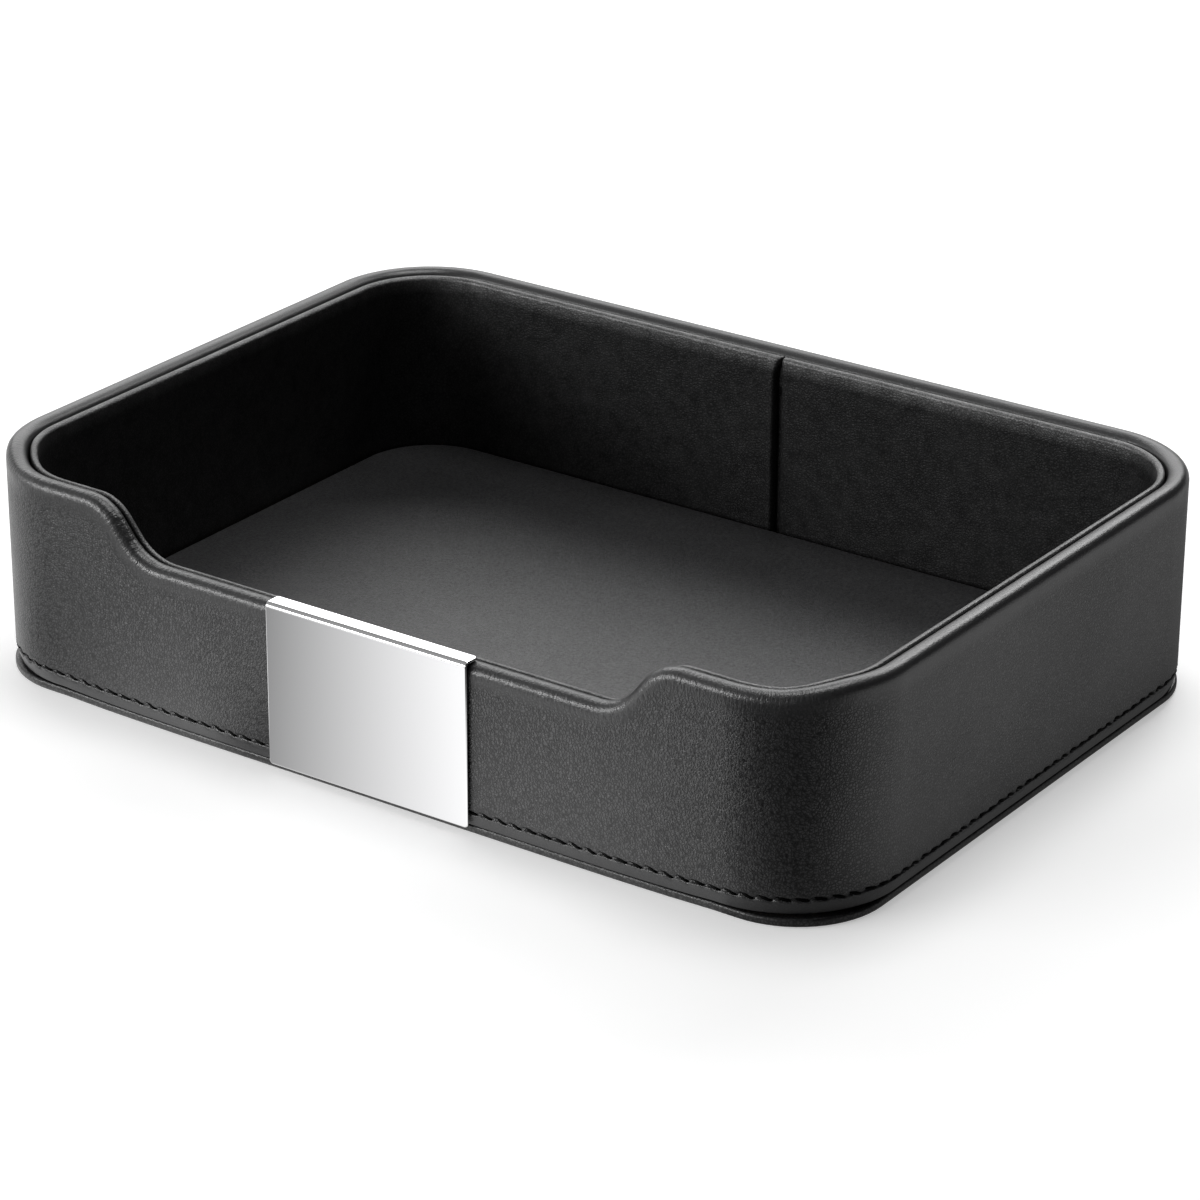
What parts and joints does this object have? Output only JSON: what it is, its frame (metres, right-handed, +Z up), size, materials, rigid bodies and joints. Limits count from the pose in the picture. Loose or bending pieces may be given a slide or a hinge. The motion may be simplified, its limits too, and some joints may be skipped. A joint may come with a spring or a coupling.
{
  "type": "valet tray",
  "caption": "Rounded rectangular valet tray with leather-wrapped walls, a dipped front under a bent mirror plate, a lined well and a wrapped base board.",
  "frame": {"origin": "on the surface that the tray stands on, under the middle of the walls", "axes": "+X along the length, to the right as seen from the dipped front; -Y out of the dipped front; +Z up"},
  "size_m": [0.2606, 0.1865, 0.06],
  "materials": {
    "wall_leather": "fine pebbled grain, low sheen",
    "lining_leather": "smooth, faintly mottled",
    "base_leather": "fine grain, low sheen",
    "floor_cloth": "matte, short fibres",
    "felt": "matte felt",
    "thread": "waxed thread",
    "fibreboard": "raw fibreboard",
    "greyboard": "raw",
    "mirror_steel": "mirror-polished, bevelled edge",
    "tape": "matte"
  },
  "bodies": {
    "root": {"outer_wall_board": "fibreboard", "outer_wrap": "wall_leather", "hem_thread": "thread", "lining_board": "greyboard", "lining": "lining_leather", "bottom_board": "fibreboard", "floor_board": "greyboard", "floor_lining": "floor_cloth", "base_board": "greyboard", "base_wrap": "base_leather", "base_felt": "felt", "front_plate": "mirror_steel", "plate_tape": "tape"}
  },
  "joints": []
}
